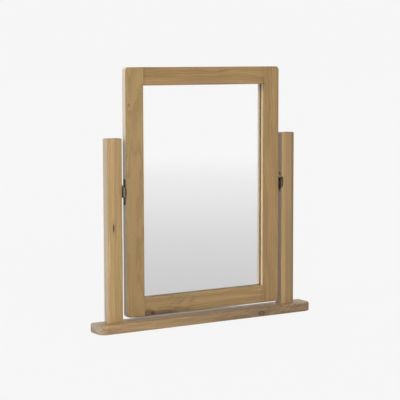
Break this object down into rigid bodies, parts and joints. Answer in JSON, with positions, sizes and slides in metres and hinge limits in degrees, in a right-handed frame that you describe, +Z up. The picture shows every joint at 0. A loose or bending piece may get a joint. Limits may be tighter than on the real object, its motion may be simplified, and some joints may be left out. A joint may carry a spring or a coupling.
{
  "type": "swing dressing-table mirror",
  "caption": "Oak-framed rectangular mirror hung on side pivots between posts on a long narrow base board, tilting about its middle.",
  "frame": {"origin": "middle of the underside of the base board", "axes": "+X along the base to the right as seen from the front, +Y from the mirror's front to its back, +Z up"},
  "size_m": [0.555, 0.054, 0.5696],
  "materials": {
    "oak": "satin lacquer over light oak",
    "beech": "bare fluted dowel rod",
    "hardboard": "smooth brown hardboard",
    "silvered_glass": "polished",
    "bronzed_steel": "dark bronzed",
    "zinc_steel": "zinc plated",
    "spring_steel": "oiled black spring steel",
    "dark_fibre": "dark vulcanised fibre"
  },
  "bodies": {
    "stand": {"base_board": "oak", "left_post": "oak", "right_post": "oak", "post_dowels": "beech", "post_screws": "zinc_steel", "left_post_plate": "bronzed_steel", "right_post_plate": "bronzed_steel", "post_plate_screws": "bronzed_steel", "left_pivot_stud": "zinc_steel", "right_pivot_stud": "zinc_steel", "left_spring_washer": "spring_steel", "right_spring_washer": "spring_steel"},
    "mirror": {"left_stile": "oak", "right_stile": "oak", "top_rail": "oak", "bottom_rail": "oak", "frame_dowels": "beech", "back_panel_screws": "zinc_steel", "frame_plate_screws": "bronzed_steel", "left_frame_plate": "bronzed_steel", "right_frame_plate": "bronzed_steel", "left_friction_washer": "dark_fibre", "right_friction_washer": "dark_fibre", "mirror_glass": "silvered_glass", "back_panel": "hardboard"}
  },
  "joints": [
    {"name": "mirror_tilt", "type": "hinge", "parent": "stand", "child": "mirror", "pos_m": [0, 0.0077, 0.301], "axis": [1, 0, 0], "continuous": true}
  ]
}
